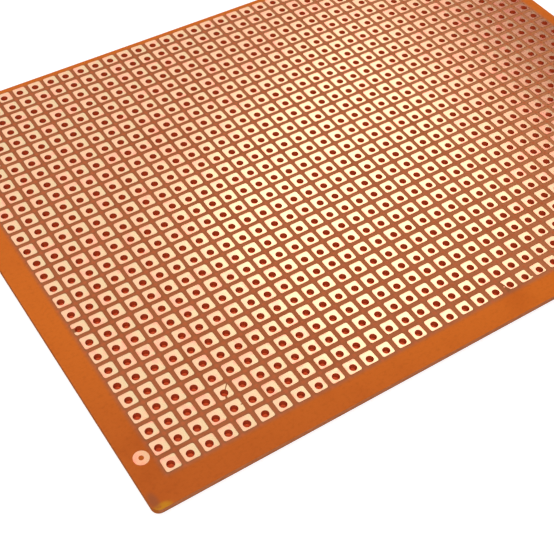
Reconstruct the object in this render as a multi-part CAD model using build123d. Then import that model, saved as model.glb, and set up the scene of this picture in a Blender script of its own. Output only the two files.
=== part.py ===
from build123d import *
import os
import random

# Single-sided prototype board: a thin sheet of brown paper laminate, drilled on a square grid, with one
# copper pad left round each hole. Millimetres, +Z up, copper side up. X runs along the 38 holes of a row,
# from left to right, and Y runs from the front row to the back row. The origin is the middle of the
# underside, where the board lies on a table.

# Hole grid: the holes are the board's reference, and everything else is placed from them.
pitch = 2.54
columns = 38
rows = 28
hole_diameter = 1.04
row_backlash = 0.09  # the drill lands this far right in the first row, left in the next, and so on
drill_wander = 0.03  # the furthest a single hole strays, along X and along Y

# Laminate sheet: its margins are measured from the middles of the outer holes.
thickness = 0.8
left_margin = 4.4
right_margin = 2.9
front_margin = 4.5
back_margin = 2.0
corner_radius = 1.0

# Copper foil pads, bonded to the top face.
foil_thickness = 0.035
pad_side = 1.94
pad_corner_radius = 0.26
pad_shift = (0.16, 0.15)  # where the front left pad sits from its hole, along X and along Y
pad_creep = 0.0074  # how much closer together the pads of a row are than its holes
pad_turn = 0.063  # how far the etched pattern is turned from the drilled grid, in degrees
over_etch = 0.26  # how much narrower the pads come out at the front right corner
over_etch_columns = 24  # the loss grows over this many columns from the left
over_etch_rows = 13  # and fades out over this many rows from the front

# Registration ring, in the left margin beside the second row.
ring_diameter = 1.95
ring_eye_diameter = 0.65
ring_left = 2.36  # from the middle of the first column of holes
ring_back = 2.44  # from the middle of the first row of holes

# Places where a scratch or the acid took copper away, by (column, row) from the front left hole.
# Each outline is in millimetres from the middle of its pad, and reaches past the pad's edge.
bare_patches = {
    (0, 9): [(-1.20, 0.34), (-0.62, 0.26), (-0.20, 0.04), (-0.20, -0.42), (-0.72, -0.44), (-1.20, -0.36)],
    (3, 1): [(0.62, -1.10), (0.80, -1.10), (1.10, -0.72), (1.10, -0.60), (0.78, -0.84)],
    (4, 1): [(1.10, 0.08), (0.78, 0.02), (0.74, -0.10), (0.94, -0.14), (1.10, -0.12)],
    (4, 2): [(0.05, -0.10), (-0.12, -0.30), (-0.36, -1.10), (-0.08, -1.10), (0.16, -0.30)],
    (20, 0): [(-1.10, 0.92), (-0.70, 0.92), (-0.48, 0.10), (-0.36, -0.30), (-0.58, -1.10), (-1.10, -1.10)],
}

length = (columns - 1) * pitch + left_margin + right_margin
width = (rows - 1) * pitch + front_margin + back_margin
first_x = left_margin - length / 2
first_y = front_margin - width / 2


def grid_point(column, row):
    return Vector(first_x + column * pitch, first_y + row * pitch)


def drilled_holes():
    drill = random.Random(1064)
    holes = {}
    for row in range(rows):
        side = 1 if row % 2 == 0 else -1
        for column in range(columns):
            stray = Vector(drill.uniform(-1, 1), drill.uniform(-1, 1)) * drill_wander
            holes[column, row] = grid_point(column, row) + Vector(side * row_backlash, 0) + stray
    return holes


def laminate_sheet(holes):
    outline = RectangleRounded(length, width, corner_radius).face().outer_wire()
    drilled = [Wire.make_circle(hole_diameter / 2, Plane(centre)) for centre in holes.values()]
    return extrude(Face(outline, drilled), thickness)


def pad_side_at(column, row):
    from_left = min(1, column / over_etch_columns)
    from_back = max(0, 1 - row / over_etch_rows)
    return pad_side - over_etch * from_left * from_back


def foil(outline):
    return extrude(Pos(0, 0, thickness) * outline, foil_thickness)


def pad_middle(column, row):
    along = Vector(column * (pitch - pad_creep), row * pitch).rotate(Axis.Z, pad_turn)
    return grid_point(0, 0) + Vector(*pad_shift) + along


def pad(column, row, hole):
    middle = pad_middle(column, row)
    side = pad_side_at(column, row)
    outline = Pos(middle) * RectangleRounded(side, side, pad_corner_radius)
    outline -= Pos(hole) * Circle(hole_diameter / 2)
    if (column, row) in bare_patches:
        outline -= Pos(middle) * Polygon(*bare_patches[column, row], align=None)
    return foil(outline)


def pad_row(row, holes):
    pads = [pad(column, row, holes[column, row]) for column in range(columns)]
    return Compound([solid for piece in pads for solid in piece.solids()])


def registration_ring():
    middle = grid_point(0, 0) + Vector(-ring_left, ring_back)
    return foil(Pos(middle) * (Circle(ring_diameter / 2) - Circle(ring_eye_diameter / 2)))


def build():
    holes = drilled_holes()
    nodes = {"laminate": laminate_sheet(holes), "registration_ring": registration_ring()}
    for row in range(rows):
        nodes[f"pad_row_{row + 1:02d}"] = pad_row(row, holes)
    return nodes


os.makedirs("parts", exist_ok=True)
for name, shape in build().items():
    export_step(shape, f"parts/{name}.step", write_pcurves=False)
print(f"board {length:.2f} x {width:.2f} x {thickness + foil_thickness:.3f} mm")
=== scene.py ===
import bmesh
import bpy
import math
import random
from mathutils import Matrix, Vector, noise


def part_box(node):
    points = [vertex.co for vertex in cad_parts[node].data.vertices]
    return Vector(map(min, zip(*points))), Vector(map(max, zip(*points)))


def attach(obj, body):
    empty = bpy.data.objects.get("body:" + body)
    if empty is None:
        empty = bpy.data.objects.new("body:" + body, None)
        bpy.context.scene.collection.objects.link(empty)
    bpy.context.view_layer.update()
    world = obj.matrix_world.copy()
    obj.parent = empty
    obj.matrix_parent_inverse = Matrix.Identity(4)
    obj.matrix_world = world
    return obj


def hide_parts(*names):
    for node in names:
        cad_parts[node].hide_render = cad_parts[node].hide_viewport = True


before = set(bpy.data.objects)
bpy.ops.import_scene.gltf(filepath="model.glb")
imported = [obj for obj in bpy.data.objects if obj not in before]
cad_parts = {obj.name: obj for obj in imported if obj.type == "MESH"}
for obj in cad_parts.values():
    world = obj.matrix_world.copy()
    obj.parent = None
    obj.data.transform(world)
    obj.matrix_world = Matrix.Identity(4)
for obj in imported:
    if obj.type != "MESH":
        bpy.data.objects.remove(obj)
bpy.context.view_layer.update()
mm = 0.001


# The drilled grid, in millimetres from the sheet's front left corner, and the etched pattern laid over it.
grid = {"columns": 38, "rows": 28, "pitch": 2.54, "left": 4.4, "front": 4.5, "holeRadius": 0.52,
        "holeSides": 20, "backlash": 0.09, "wander": 0.03, "seed": 1064}
pattern = {"shift": (0.16, 0.15), "creep": 0.0074, "turn": 0.063, "side": 1.94, "corner": 0.26,
           "loss": 0.26, "lossColumns": 24, "lossRows": 13}  # pads shrink towards the front right


def rowNode(row):
    return "pad_row_%02d" % (row + 1)


def boxMiddle(low, high, axis):
    return (low[axis] + high[axis]) / 2


def gridLines():
    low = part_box("laminate")[0]
    left, front = low[0] + grid["left"] * mm, low[1] + grid["front"] * mm
    across = [left + pitch * column for column in range(grid["columns"])]
    up = [front + pitch * row for row in range(grid["rows"])]
    return across, up


def drilledHoles(across, up):
    drill = random.Random(grid["seed"])
    holes = {}
    for row, y in enumerate(up):
        side = 1 if row % 2 == 0 else -1
        for column, x in enumerate(across):
            strayX = drill.uniform(-1, 1) * grid["wander"]
            strayY = drill.uniform(-1, 1) * grid["wander"]
            holes[column, row] = Vector((x + (side * grid["backlash"] + strayX) * mm, y + strayY * mm, 0))
    return holes


pitch = grid["pitch"] * mm
padPitch = pitch - pattern["creep"] * mm
padTurn = Matrix.Rotation(math.radians(pattern["turn"]), 3, "Z")
across, up = gridLines()
firstPad = Vector((across[0] + pattern["shift"][0] * mm, up[0] + pattern["shift"][1] * mm, 0))
holes = drilledHoles(across, up)
sheetLow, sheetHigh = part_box("laminate")
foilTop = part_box(rowNode(0))[1][2]
sheetTop = sheetHigh[2]
print("grid read: pitch %.3f mm, first hole %.2f %.2f mm" % (pitch / mm, across[0] / mm, up[0] / mm))


# Small helpers for meshes and nodes.
def meshFrom(bm, name):
    mesh = bpy.data.meshes.new(name)
    bm.to_mesh(mesh)
    bm.free()
    return mesh


def addPiece(bm, name, material, nodes):
    mesh = meshFrom(bm, name)
    piece = bpy.data.objects.new(name, mesh)
    bpy.context.scene.collection.objects.link(piece)
    mesh.materials.append(material)
    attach(piece, "root")
    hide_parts(*nodes)
    return piece


def addCopies(bm, mesh, moves):
    start = len(bm.verts)
    bm.from_mesh(mesh)
    bm.verts.ensure_lookup_table()
    for vert in bm.verts[start:]:
        vert.co = moves(vert.co)


def thicken(bm, height):
    geom = bm.faces[:] + bm.edges[:] + bm.verts[:]
    raised = bmesh.ops.extrude_face_region(bm, geom=geom, use_keep_orig=True)["geom"]
    lifted = [part for part in raised if isinstance(part, bmesh.types.BMVert)]
    bmesh.ops.translate(bm, vec=(0, 0, height), verts=lifted)
    bmesh.ops.recalc_face_normals(bm, faces=bm.faces[:])


def addNode(tree, kind, settings=None, inputs=None):
    node = tree.nodes.new(kind)
    for name, value in (settings or {}).items():
        setattr(node, name, value)
    for name, value in (inputs or {}).items():
        if isinstance(value, bpy.types.NodeSocket):
            tree.links.new(value, node.inputs[name])
        else:
            node.inputs[name].default_value = value
    return node


def maths(tree, operation, first, second=0.0):
    return addNode(tree, "ShaderNodeMath", {"operation": operation}, {0: first, 1: second}).outputs[0]


def product(tree, first, *others):
    for other in others:
        first = maths(tree, "MULTIPLY", first, other)
    return first


def blend(tree, amount, first, second, mode="MIX"):
    # sockets 0, 6 and 7 are the factor and the two colours, and output 2 is the colour
    node = addNode(tree, "ShaderNodeMix", {"data_type": "RGBA", "blend_type": mode})
    for index, value in ((0, amount), (6, first), (7, second)):
        if isinstance(value, bpy.types.NodeSocket):
            tree.links.new(value, node.inputs[index])
        else:
            node.inputs[index].default_value = value
    return node.outputs[2]


def ramp(tree, value, low, high, toLow=0.0, toHigh=1.0, kind="SMOOTHSTEP"):
    node = addNode(tree, "ShaderNodeMapRange", {"clamp": True, "interpolation_type": kind},
                   {"Value": value, "From Min": low, "From Max": high, "To Min": toLow, "To Max": toHigh})
    return node.outputs["Result"]


def scaled(span, unit):
    return [value * unit for value in span]


def roundedSquare(bm, size, corner, sides, cuts):
    # edges of a rounded oblong about the origin: sides at each corner, cuts across each straight edge
    verts = bmesh.ops.create_circle(bm, segments=4, radius=1 / math.sqrt(2), cap_ends=True,
                                    matrix=Matrix.Rotation(math.radians(45), 4, "Z"))["verts"]
    bmesh.ops.scale(bm, vec=(size[0], size[1], 1), verts=verts)
    bmesh.ops.bevel(bm, geom=verts, offset=corner, affect="VERTICES", segments=sides, profile=0.5,
                    material=-1)
    face = max(bm.faces, key=lambda f: f.calc_area())
    straight = [edge for edge in face.edges if edge.calc_length() > corner]
    bmesh.ops.subdivide_edges(bm, edges=straight, cuts=cuts)
    edges = face.edges[:]
    bmesh.ops.delete(bm, geom=[face], context="FACES_ONLY")
    return edges


def startGroup(name, inputs, outputs):
    tree = bpy.data.node_groups.new(name, "ShaderNodeTree")
    for label, kind, value in inputs:
        socket = tree.interface.new_socket(label, in_out="INPUT", socket_type=kind)
        socket.default_value = value
    for label, kind in outputs:
        tree.interface.new_socket(label, in_out="OUTPUT", socket_type=kind)
    return tree, addNode(tree, "NodeGroupInput").outputs, addNode(tree, "NodeGroupOutput").inputs


def placeGroup(tree, group, inputs):
    return addNode(tree, "ShaderNodeGroup", {"node_tree": group}, inputs).outputs


def startMaterial(name):
    material = bpy.data.materials.new(name)
    material.use_nodes = True
    tree = material.node_tree
    shader = tree.nodes["Principled BSDF"]
    where = addNode(tree, "ShaderNodeTexCoord").outputs["Object"]
    return material, tree, shader, where


# Node group: cloudy colour variation with a fine grain over it, as in pressed paper or handled foil.
def mottleGroup():
    tree, given, out = startGroup(
        "mottle",
        [("Where", "NodeSocketVector", (0, 0, 0)), ("Cloud Scale", "NodeSocketFloat", 120.0),
         ("Grain Scale", "NodeSocketFloat", 2500.0), ("Grain Stretch", "NodeSocketVector", (1, 1, 1))],
        [("Cloud", "NodeSocketFloat"), ("Grain", "NodeSocketFloat")])
    cloud = addNode(tree, "ShaderNodeTexNoise", None,
                    {"Vector": given["Where"], "Scale": given["Cloud Scale"],
                     "Detail": 3.0, "Roughness": 0.55})
    stretched = addNode(tree, "ShaderNodeVectorMath", {"operation": "MULTIPLY"},
                        {0: given["Where"], 1: given["Grain Stretch"]})
    grain = addNode(tree, "ShaderNodeTexNoise", None,
                    {"Vector": stretched.outputs[0], "Scale": given["Grain Scale"],
                     "Detail": 4.0, "Roughness": 0.6})
    tree.links.new(cloud.outputs["Fac"], out["Cloud"])
    tree.links.new(grain.outputs["Fac"], out["Grain"])
    return tree


def bumpNormal(tree, spots, look):
    bump = addNode(tree, "ShaderNodeBump", None,
                   {"Strength": look["bump"], "Distance": look["bumpHeight"] * mm, "Height": spots["Grain"]})
    return bump.outputs["Normal"]


mottle = mottleGroup()


# Laminate: brown resin-bonded paper. Colours are linear, widths are in millimetres and reaches in pitches. A
# range runs from where an effect starts to where it is whole: in millimetres for the painted sheen to the
# right, the painted shade beside the foil and the painted shade at the foot, in pitches for crossing, and
# else in the value of a noise or of the normal.
sheetLook = {"face": (0.665, 0.151, 0.0115, 1), "faceNear": (0.53, 0.112, 0.0118, 1), "nearWidth": 33,
             "cloud": (0.90, 0.84, 0.75, 1), "cloudScale": 110.0, "cloudRange": (0.45, 0.75),
             "fibre": (0.90, 0.88, 0.85, 1), "fibreScale": 2600.0, "fibreStretch": (0.7, 1.0, 1.0),
             "etched": (0.440, 0.126, 0.0440, 1), "etchedRight": (0.530, 0.185, 0.0720, 1),
             "sheenRange": (-20, 45), "blockReach": 0.47, "blockSoft": 0.35,
             "crossing": (0.530, 0.130, 0.0430, 1), "crossingRange": (0.36, 0.46),
             "shadeBesideFoil": (0.360, 0.124, 0.0440, 1), "shadeBesideRange": (0.20, 0.02),
             "edge": (0.42, 0.125, 0.040, 1), "leftEdgeLit": (0.44, 0.112, 0.012, 1), "leftRange": (-0.3, -0.7),
             "ply": (0.56, 0.185, 0.070, 1), "plyScale": 9000.0, "plyStretch": (0.08, 0.08, 1.0),
             "plyRange": (0.35, 0.65), "footShade": (0.50, 0.45, 0.42, 1), "footShadeRange": (0.22, 0.05),
             "wallGlow": (0.53, 0.078, 0.020, 1), "wallReach": 0.5, "wallSoft": 0.1,
             "topRange": (0.3, 0.8), "cutRange": (0.8, 0.3),
             "rough": 0.46, "roughSwing": 0.15, "wallRough": 0.8, "specular": 0.10,
             "bump": 0.15, "bumpHeight": 0.05}
# Marks at the front left corner: where their middles are from it and how far they reach, in millimetres along
# X and along Y, and the noises that break up their edges.
cornerMarks = {"bruise": {"colour": (0.58, 0.225, 0.010, 1), "middle": (1.05, 0.15), "reach": (1.15, 0.62),
                          "soft": 0.4, "strength": 1.0,
                          "ragged": {"Cloud": (0.3, 0.5), "Grain": (0.25, 0.45)}},
               "smudge": {"colour": (0.33, 0.090, 0.030, 1), "middle": (0.55, 1.45), "reach": (0.55, 1.0),
                          "soft": 0.6, "strength": 0.75, "ragged": {}}}


def markMask(tree, spots, place, mark):
    # 1 inside an ellipse, falling to 0 outside it
    squares = []
    for axis, name in enumerate(("X", "Y")):
        middle = sheetLow[axis] + mark["middle"][axis] * mm
        share = maths(tree, "DIVIDE", maths(tree, "SUBTRACT", place[name], middle), mark["reach"][axis] * mm)
        squares.append(maths(tree, "MULTIPLY", share, share))
    away = maths(tree, "SQRT", maths(tree, "ADD", *squares))
    mask = product(tree, ramp(tree, away, 1.0 + mark["soft"], 1.0 - mark["soft"]), mark["strength"])
    for name, span in mark["ragged"].items():
        mask = product(tree, mask, ramp(tree, spots[name], *span))
    return mask


def cellDistance(tree, value, step):
    # distance from the nearest grid line through the pads' middles
    return maths(tree, "MULTIPLY", maths(tree, "PINGPONG", maths(tree, "DIVIDE", value, step), 0.5), step)


def foilDistance(tree, where):
    # how far a point is beyond its pad's edge, from the nearest line through the pads' middles, and to the
    # right of its own pad's middle
    fromFirst = addNode(tree, "ShaderNodeVectorMath", {"operation": "SUBTRACT"}, {0: where, 1: firstPad})
    turned = addNode(tree, "ShaderNodeVectorRotate", {"rotation_type": "Z_AXIS"},
                     {"Vector": fromFirst.outputs[0], "Angle": -math.radians(pattern["turn"])})
    place = addNode(tree, "ShaderNodeSeparateXYZ", None, {"Vector": turned.outputs[0]}).outputs
    awayX = cellDistance(tree, place["X"], padPitch)
    awayY = cellDistance(tree, place["Y"], pitch)
    lossX = ramp(tree, place["X"], 0.0, pattern["lossColumns"] * pitch, 0.0, 1.0, "LINEAR")
    lossY = ramp(tree, place["Y"], 0.0, pattern["lossRows"] * pitch, pattern["loss"] * mm / 2, 0.0, "LINEAR")
    half = maths(tree, "SUBTRACT", pattern["side"] * mm / 2, product(tree, lossX, lossY))
    rightward = addNode(tree, "ShaderNodeMath", {"operation": "WRAP"},
                        {0: place["X"], 1: padPitch / 2, 2: -padPitch / 2})
    return {"beyond": maths(tree, "SUBTRACT", maths(tree, "MAXIMUM", awayX, awayY), half),
            "nearLine": maths(tree, "MINIMUM", awayX, awayY), "rightward": rightward.outputs[0]}


def blockMask(tree, place, reach, soft):
    # 1 over the block of cells, falling off softly beyond its outer holes
    masks = [ramp(tree, place["X"], across[0] - reach - soft, across[0] - reach + soft),
             ramp(tree, place["X"], across[-1] + reach + soft, across[-1] + reach - soft),
             ramp(tree, place["Y"], up[0] - reach - soft, up[0] - reach + soft),
             ramp(tree, place["Y"], up[-1] + reach + soft, up[-1] + reach - soft)]
    return product(tree, *masks)


def laminateFace(tree, spots, place, where, top):
    # top is 1 on the copper side, which alone has the painted shade and sheen of the gaps between the cells
    # and the marks of handling
    look = sheetLook
    slope = maths(tree, "ADD", maths(tree, "MULTIPLY", place["X"], 0.5), place["Y"])
    near = sheetLow[0] / 2 + sheetLow[1]
    face = blend(tree, ramp(tree, slope, near, near + look["nearWidth"] * mm), look["faceNear"], look["face"])
    foil = foilDistance(tree, where)
    # painted shade: the gaps between the pads are darker, as in the copper's shade, darkest just beside the
    # foil and lightest where the gaps cross
    shadeBeside = ramp(tree, foil["beyond"], *scaled(look["shadeBesideRange"], mm))
    crossing = ramp(tree, foil["nearLine"], *scaled(look["crossingRange"], pitch))
    # painted sheen: the gaps between the pads are paler towards the right
    rightward = ramp(tree, place["X"], *scaled(look["sheenRange"], mm))
    etched = blend(tree, rightward, look["etched"], look["etchedRight"])
    etched = blend(tree, crossing, etched, look["crossing"])
    etched = blend(tree, shadeBeside, etched, look["shadeBesideFoil"])
    block = blockMask(tree, place, look["blockReach"] * pitch, look["blockSoft"] * mm)
    face = blend(tree, product(tree, top, block), face, etched)
    face = blend(tree, ramp(tree, spots["Cloud"], *look["cloudRange"]), face, look["cloud"], "MULTIPLY")
    face = blend(tree, ramp(tree, spots["Grain"], *look["cloudRange"]), face, look["fibre"], "MULTIPLY")
    for mark in cornerMarks.values():
        face = blend(tree, product(tree, top, markMask(tree, spots, place, mark)), face, mark["colour"])
    return face


def laminateEdge(tree, place, where, sideways):
    # the cut edge: fine plies, painted shade darkening the foot of every side but the left, painted light in
    # the left side's own colour, and the holes' walls painted a brighter red as a glow of light through the
    # paper
    look = sheetLook
    layered = addNode(tree, "ShaderNodeVectorMath", {"operation": "MULTIPLY"},
                      {0: where, 1: look["plyStretch"]})
    plies = addNode(tree, "ShaderNodeTexNoise", None,
                    {"Vector": layered.outputs[0], "Scale": look["plyScale"],
                     "Detail": 3.0, "Roughness": 0.6})
    edge = blend(tree, ramp(tree, plies.outputs["Fac"], *look["plyRange"]), look["edge"], look["ply"])
    # painted light: the left cut face has its own colour, unlike the other sides
    left = ramp(tree, sideways, *look["leftRange"])
    edge = blend(tree, left, edge, look["leftEdgeLit"])
    # painted shade: the foot of every cut side but the left is darker
    footShadeMask = product(tree, ramp(tree, place["Z"], *scaled(look["footShadeRange"], mm)),
                   maths(tree, "SUBTRACT", 1.0, left))
    edge = blend(tree, footShadeMask, edge, look["footShade"], "MULTIPLY")
    # painted glow: the holes' walls are a brighter red, standing in for light through the paper
    block = blockMask(tree, place, look["wallReach"] * pitch, look["wallSoft"] * mm)
    return blend(tree, block, edge, look["wallGlow"])


def laminateMaterial():
    look = sheetLook
    material, tree, shader, where = startMaterial("paperLaminate")
    spots = placeGroup(tree, mottle, {"Where": where, "Cloud Scale": look["cloudScale"],
                                      "Grain Scale": look["fibreScale"],
                                      "Grain Stretch": look["fibreStretch"]})
    place = addNode(tree, "ShaderNodeSeparateXYZ", None, {"Vector": where}).outputs
    normal = addNode(tree, "ShaderNodeNewGeometry").outputs["Normal"]
    facing = addNode(tree, "ShaderNodeSeparateXYZ", None, {"Vector": normal}).outputs
    face = laminateFace(tree, spots, place, where, ramp(tree, facing["Z"], *look["topRange"]))
    cut = ramp(tree, maths(tree, "ABSOLUTE", facing["Z"]), *look["cutRange"])
    edge = laminateEdge(tree, place, where, facing["X"])
    tree.links.new(blend(tree, cut, face, edge), shader.inputs["Base Color"])
    rough = maths(tree, "ADD", maths(tree, "MULTIPLY", spots["Grain"], look["roughSwing"]),
                  ramp(tree, cut, 0.0, 1.0, look["rough"], look["wallRough"]))
    tree.links.new(rough, shader.inputs["Roughness"])
    tree.links.new(bumpNormal(tree, spots, look), shader.inputs["Normal"])
    shader.inputs["Specular IOR Level"].default_value = look["specular"]
    return material


# Copper foil under a thin flux lacquer: the tarnish shows as faint clouds and a fine brushed grain. The
# colour is also greener to the right of each pad and pinker round its rim. The widths are where these start
# and are whole, in millimetres.
foilLook = {"bright": (0.79, 0.475, 0.290, 1), "cloudScale": 620.0,
            "green": (0.70, 0.515, 0.300, 1), "greenWidth": (-0.2, 0.8), "greenRange": (0.36, 0.50),
            "pink": (0.87, 0.420, 0.275, 1), "pinkRange": (0.46, 0.34),
            "rim": (1.0, 0.84, 0.80, 1), "rimWidth": (-0.26, -0.02), "rimRange": (0.62, 0.42),
            "grainScale": 5200.0, "grainStretch": (1.0, 0.3, 1.0), "rough": 0.16, "roughSwing": 0.08,
            "coat": 0.08, "coatRough": 0.25, "bump": 0.12, "bumpHeight": 0.02,
            "ringTint": (1.0, 0.80, 0.78, 1)}  # the ring is pinker than the pads


def copperMaterial(name, tint):
    look = foilLook
    material, tree, shader, where = startMaterial(name)
    spots = placeGroup(tree, mottle, {"Where": where, "Cloud Scale": look["cloudScale"],
                                      "Grain Scale": look["grainScale"],
                                      "Grain Stretch": look["grainStretch"]})
    foil = foilDistance(tree, where)
    greener = product(tree, ramp(tree, foil["rightward"], *scaled(look["greenWidth"], mm)),
                      ramp(tree, spots["Cloud"], *look["greenRange"]))
    colour = blend(tree, greener, look["bright"], look["green"])
    colour = blend(tree, ramp(tree, spots["Cloud"], *look["pinkRange"]), colour, look["pink"])
    rim = product(tree, ramp(tree, foil["beyond"], *scaled(look["rimWidth"], mm)),
                  ramp(tree, spots["Cloud"], *look["rimRange"]))
    colour = blend(tree, rim, colour, look["rim"], "MULTIPLY")
    tree.links.new(blend(tree, 1.0, colour, tint, "MULTIPLY"), shader.inputs["Base Color"])
    rough = maths(tree, "ADD", maths(tree, "MULTIPLY", spots["Cloud"], look["roughSwing"]), look["rough"])
    tree.links.new(rough, shader.inputs["Roughness"])
    tree.links.new(bumpNormal(tree, spots, look), shader.inputs["Normal"])
    shader.inputs["Metallic"].default_value = 1.0
    shader.inputs["Coat Weight"].default_value = look["coat"]
    shader.inputs["Coat Roughness"].default_value = look["coatRough"]
    return material


laminate = laminateMaterial()
copper = copperMaterial("copperFoil", (1, 1, 1, 1))
handledCopper = copperMaterial("handledCopper", foilLook["ringTint"])
print("materials made")


# The sheet: one square cell round each hole, a margin round the block of cells, then thickened as one. In
# millimetres: vertices nearer than weld become one, and slack is spare room round a hole.
sheetShape = {"cornerRadius": 1.0, "cornerSides": 6, "edgeStep": 1.2, "weld": 0.02, "slack": 0.05}


def cellMesh():
    bm = bmesh.new()
    bmesh.ops.create_circle(bm, segments=4, radius=pitch / math.sqrt(2),
                            matrix=Matrix.Rotation(math.radians(45), 4, "Z"))
    bmesh.ops.create_circle(bm, segments=grid["holeSides"], radius=grid["holeRadius"] * mm)
    bmesh.ops.bridge_loops(bm, edges=bm.edges[:])
    return meshFrom(bm, "cell")


def cellBlock(bm):
    # the square stays on the grid, and only the hole strays
    cell = cellMesh()
    reach = (grid["holeRadius"] + sheetShape["slack"]) * mm
    for (column, row), hole in holes.items():
        middle = Vector((across[column], up[row], 0))
        addCopies(bm, cell, lambda co: co + (hole if co.length < reach else middle))
    bmesh.ops.remove_doubles(bm, verts=bm.verts[:], dist=sheetShape["weld"] * mm)
    bpy.data.meshes.remove(cell)


def boardOutline(bm):
    shape = sheetShape
    size = [sheetHigh[axis] - sheetLow[axis] for axis in (0, 1)]
    edges = roundedSquare(bm, size, shape["cornerRadius"] * mm, shape["cornerSides"],
                          int(size[1] / (shape["edgeStep"] * mm)))
    centre = (boxMiddle(sheetLow, sheetHigh, 0), boxMiddle(sheetLow, sheetHigh, 1), 0)
    bmesh.ops.translate(bm, vec=centre, verts=list({vert for edge in edges for vert in edge.verts}))
    return edges


def sheetPiece():
    bm = bmesh.new()
    cellBlock(bm)
    # the block's own rim has edges a pitch long, and those of its holes are far shorter
    blockRim = [edge for edge in bm.edges if edge.is_boundary and edge.calc_length() > 0.9 * pitch]
    bmesh.ops.triangle_fill(bm, edges=blockRim + boardOutline(bm), use_beauty=True, use_dissolve=False,
                            normal=(0, 0, 1))
    bmesh.ops.recalc_face_normals(bm, faces=bm.faces[:])
    thicken(bm, sheetTop)
    addPiece(bm, "boardSheet", laminate, ["laminate"])


sheetPiece()
print("sheet made")


# The pads: a rounded square with a hole, its outline a little uneven from etching. All are copies of a pad
# whose side is 1 and whose hole has the radius holeMark, sized as they are placed.
padShape = {"cornerSides": 3, "holeMark": 0.1, "uneven": 0.03, "unevenScale": 1100.0, "spare": 0.05}
# Where copper was scratched or etched away, and where a little stayed behind: row, column and an outline in
# millimetres from the pad's middle.
barePatches = [
    (9, 0, [(-1.20, 0.34), (-0.62, 0.26), (-0.20, 0.04), (-0.20, -0.42), (-0.72, -0.44), (-1.20, -0.36)]),
    (1, 3, [(0.62, -1.10), (0.80, -1.10), (1.10, -0.72), (1.10, -0.60), (0.78, -0.84)]),
    (1, 4, [(1.10, 0.08), (0.78, 0.02), (0.74, -0.10), (0.94, -0.14), (1.10, -0.12)]),
    (2, 4, [(0.05, -0.10), (-0.12, -0.30), (-0.36, -1.10), (-0.08, -1.10), (0.16, -0.30)]),
    (2, 4, [(0.16, 0.12), (0.25, 0.05), (1.02, 0.86), (1.02, 1.02), (0.94, 1.02)]),
    (0, 20, [(-1.10, 0.80), (-0.74, 0.72), (-0.62, 0.10), (-0.58, -0.30), (-0.36, -0.78), (0.10, -0.86),
             (0.30, -1.10), (-1.10, -1.10)]),
]
leftovers = [
    (0, 20, [(-0.94, -0.10), (-0.84, -0.18), (-0.79, -0.02), (-0.89, 0.05)]),
    (0, 21, [(0.70, -0.46), (1.02, -0.62), (1.07, -0.76), (0.70, -0.80)]),
]


def reshapeFoil(piece, column, row, outline, operation):
    # a cutter stands clear of the foil's faces
    spare = 0.0 if operation == "UNION" else padShape["spare"] * mm
    bm = bmesh.new()
    middle = padMiddle(column, row) + Vector((0, 0, sheetTop - spare))
    bm.faces.new([bm.verts.new(middle + Vector((x, y, 0)) * mm) for x, y in outline])
    thicken(bm, foilTop - sheetTop + 2 * spare)
    tool = bpy.data.objects.new("tool", meshFrom(bm, "tool"))
    bpy.context.scene.collection.objects.link(tool)
    boolean = piece.modifiers.new("reshape", "BOOLEAN")
    boolean.operation = operation
    boolean.solver = "EXACT"
    boolean.object = tool
    shaped = bpy.data.meshes.new_from_object(piece.evaluated_get(bpy.context.evaluated_depsgraph_get()))
    piece.modifiers.clear()
    piece.data = shaped
    bpy.data.objects.remove(tool)


def padMesh():
    bm = bmesh.new()
    roundedSquare(bm, (1, 1), pattern["corner"] / pattern["side"], padShape["cornerSides"], 1)
    bmesh.ops.create_circle(bm, segments=grid["holeSides"], radius=padShape["holeMark"])
    bmesh.ops.bridge_loops(bm, edges=bm.edges[:])
    return meshFrom(bm, "pad")


def padSide(column, row):
    fromLeft = min(1, column / pattern["lossColumns"])
    fromBack = max(0, 1 - row / pattern["lossRows"])
    return (pattern["side"] - pattern["loss"] * fromLeft * fromBack) * mm


def padMiddle(column, row):
    return firstPad + padTurn @ Vector((column * padPitch, row * pitch, 0))


def addPad(bm, mesh, column, row):
    middle = padMiddle(column, row)
    side = padSide(column, row)
    hole = holes[column, row]
    mark = padShape["holeMark"]

    def place(co):
        if co.length < 2 * mark:
            return hole + co * (grid["holeRadius"] * mm / mark)
        spot = middle + co * side
        drift = noise.noise_vector(spot * padShape["unevenScale"]) * padShape["uneven"] * mm
        return spot + Vector((drift.x, drift.y, 0))

    addCopies(bm, mesh, place)


def padRow(row, mesh):
    bm = bmesh.new()
    for column in range(grid["columns"]):
        addPad(bm, mesh, column, row)
    bmesh.ops.translate(bm, vec=(0, 0, sheetTop), verts=bm.verts[:])
    thicken(bm, foilTop - sheetTop)
    piece = addPiece(bm, "padRow%02d" % (row + 1), copper, [rowNode(row)])
    for operation, patches in (("DIFFERENCE", barePatches), ("UNION", leftovers)):
        for patchRow, column, outline in patches:
            if patchRow == row:
                reshapeFoil(piece, column, row, outline, operation)


noise.seed_set(grid["seed"])  # or each run would draw other outlines
padOutline = padMesh()
for row in range(grid["rows"]):
    padRow(row, padOutline)
bpy.data.meshes.remove(padOutline)
print("pads made")


# The ring in the left margin, with its etched eye.
ringShape = {"sides": 32, "eyeRadius": 0.325}


def ringPiece():
    low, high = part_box("registration_ring")
    bm = bmesh.new()
    middle = Matrix.Translation((boxMiddle(low, high, 0), boxMiddle(low, high, 1), sheetTop))
    for radius in ((high[0] - low[0]) / 2, ringShape["eyeRadius"] * mm):
        bmesh.ops.create_circle(bm, segments=ringShape["sides"], radius=radius, matrix=middle)
    bmesh.ops.bridge_loops(bm, edges=bm.edges[:])
    thicken(bm, foilTop - sheetTop)
    addPiece(bm, "registrationRing", handledCopper, ["registration_ring"])


ringPiece()
print("ring made")


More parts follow.
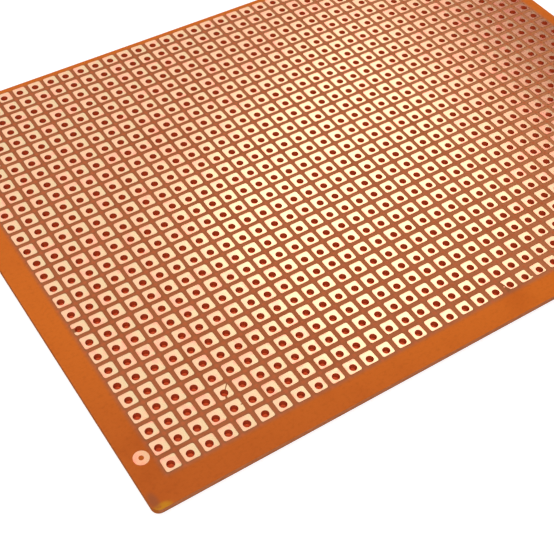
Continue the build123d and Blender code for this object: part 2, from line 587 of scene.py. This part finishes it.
# Floor, light and camera. The floor's sizes are in metres. Its glow shows to the camera and in reflections
# only, and rises away from the board, where the lamps no longer reach.
floorLook = {"pale": (0.80, 0.80, 0.80, 1), "underBoard": (0.92, 0.150, 0.045, 1), "inset": 0.001,
             "rough": 0.9, "size": 3.0, "drop": 0.00002, "glow": 0.45, "farGlow": 0.85,
             "glowRange": (0.25, 1.2)}


def floorPiece():
    look = floorLook
    bm = bmesh.new()
    bmesh.ops.create_grid(bm, x_segments=1, y_segments=1, size=look["size"])
    bmesh.ops.translate(bm, vec=(0, 0, -look["drop"]), verts=bm.verts[:])
    floor = bpy.data.objects.new("floor", meshFrom(bm, "floor"))
    bpy.context.scene.collection.objects.link(floor)
    floor.data.materials.append(floorMaterial())


def floorMaterial():
    look = floorLook
    material, tree, shader, where = startMaterial("paleFloor")
    shader.inputs["Roughness"].default_value = look["rough"]
    shader.inputs["Specular IOR Level"].default_value = 0.0
    shader.inputs["Emission Color"].default_value = (1, 1, 1, 1)
    path = addNode(tree, "ShaderNodeLightPath").outputs
    seen = maths(tree, "MAXIMUM", path["Is Camera Ray"], maths(tree, "MAXIMUM", path["Is Glossy Ray"],
                                                              path["Is Transmission Ray"]))
    place = addNode(tree, "ShaderNodeSeparateXYZ", None, {"Vector": where}).outputs
    clearX = maths(tree, "GREATER_THAN", maths(tree, "ABSOLUTE", place["X"]), sheetHigh[0] - look["inset"])
    clearY = maths(tree, "GREATER_THAN", maths(tree, "ABSOLUTE", place["Y"]), sheetHigh[1] - look["inset"])
    clear = maths(tree, "MAXIMUM", clearX, clearY)
    # light that reaches the floor under the board has come through brown paper
    tree.links.new(blend(tree, clear, look["underBoard"], look["pale"]), shader.inputs["Base Color"])
    away = addNode(tree, "ShaderNodeVectorMath", {"operation": "LENGTH"}, {0: where}).outputs["Value"]
    glow = ramp(tree, away, *look["glowRange"], look["glow"], look["farGlow"], "LINEAR")
    tree.links.new(product(tree, seen, clear, glow), shader.inputs["Emission Strength"])
    return material


# The room round the board: bright where copper mirrors it, but for a grey patch behind the lamps and a dim
# red brown one low down to the right. Each patch: heading, height, and how far out it is whole and gone, in
# degrees.
room = {"bright": (1, 1, 1, 1), "grey": (0.34, 0.34, 0.34, 1), "dim": (0.24, 0.03, 0.02, 1),
        "greyPatch": (48, 45, 34, 48), "dimPatch": (18, 22, 26, 46)}


def skyDirection(heading, height):
    heading, height = math.radians(heading), math.radians(height)
    flat = math.cos(height)
    return Vector((math.cos(heading) * flat, math.sin(heading) * flat, math.sin(height)))


def skyPatch(tree, name):
    heading, height, inner, outer = room[name]
    toSky = addNode(tree, "ShaderNodeTexCoord").outputs["Generated"]
    facing = addNode(tree, "ShaderNodeVectorMath", {"operation": "DOT_PRODUCT"},
                     {0: toSky, 1: skyDirection(heading, height)}).outputs["Value"]
    return ramp(tree, facing, math.cos(math.radians(outer)), math.cos(math.radians(inner)))


def skyLight():
    world = bpy.data.worlds.new("studio")
    bpy.context.scene.world = world
    world.use_nodes = True
    tree = world.node_tree
    node = tree.nodes["Background"]
    path = addNode(tree, "ShaderNodeLightPath").outputs
    mirrored = product(tree, path["Is Glossy Ray"], maths(tree, "SUBTRACT", 1.0, skyPatch(tree, "greyPatch")))
    seen = maths(tree, "MAXIMUM", path["Is Camera Ray"], path["Is Transmission Ray"])
    colour = blend(tree, skyPatch(tree, "dimPatch"), room["grey"], room["dim"])
    colour = blend(tree, maths(tree, "MAXIMUM", mirrored, seen), colour, room["bright"])
    tree.links.new(colour, node.inputs["Color"])


# Each lamp: heading and height of its middle and its turn in degrees, distance and size in metres, and the
# brightness of its face.
lamps = {"softbox": {"heading": 73, "height": 52, "turn": 19, "distance": 0.80, "size": (0.92, 0.64),
                     "radiance": 0.98},
         "softboxCore": {"heading": 46, "height": 46, "turn": 60, "distance": 0.80, "size": (0.25, 0.29),
                         "radiance": 1.55},
         "backFill": {"heading": 235, "height": 55, "turn": 0, "distance": 0.90, "size": (0.75, 0.75),
                      "radiance": 2.6}}


def addLamp(name):
    look = lamps[name]
    lamp = bpy.data.lights.new(name, "AREA")
    lamp.shape = "RECTANGLE"
    lamp.size, lamp.size_y = look["size"]
    lamp.energy = look["radiance"] * math.pi * lamp.size * lamp.size_y
    light = bpy.data.objects.new(name, lamp)
    bpy.context.scene.collection.objects.link(light)
    way = skyDirection(look["heading"], look["height"])
    turn = Matrix.Rotation(math.radians(look["turn"]), 4, "Z")
    facing = way.to_track_quat("Z", "Y").to_matrix().to_4x4() @ turn
    light.matrix_world = Matrix.Translation(way * look["distance"]) @ facing


# The camera: which way it looks, in degrees, and its distance from the point that it aims at, in millimetres.
view = {"heading": 54.91, "elevation": 48.95, "roll": 2.62, "distance": 140.38, "aim": (-20.62, -15.89, 0.8),
        "lens": 69.89, "sensor": 36, "clip": 10}


def aimCamera():
    camera = bpy.data.objects.new("camera", bpy.data.cameras.new("camera"))
    bpy.context.scene.collection.objects.link(camera)
    forward = skyDirection(view["heading"], -view["elevation"])
    roll = Matrix.Rotation(math.radians(view["roll"]), 4, "Z")
    facing = forward.to_track_quat("-Z", "Y").to_matrix().to_4x4() @ roll
    aim = Vector(view["aim"]) * mm
    camera.matrix_world = Matrix.Translation(aim - forward * view["distance"] * mm) @ facing
    camera.data.lens = view["lens"]
    camera.data.sensor_width = view["sensor"]
    camera.data.clip_start = view["clip"] * mm
    bpy.context.scene.camera = camera


floorPiece()
skyLight()
for name in lamps:
    addLamp(name)
aimCamera()
bpy.context.scene.view_settings.view_transform = "Standard"
print("stage set")
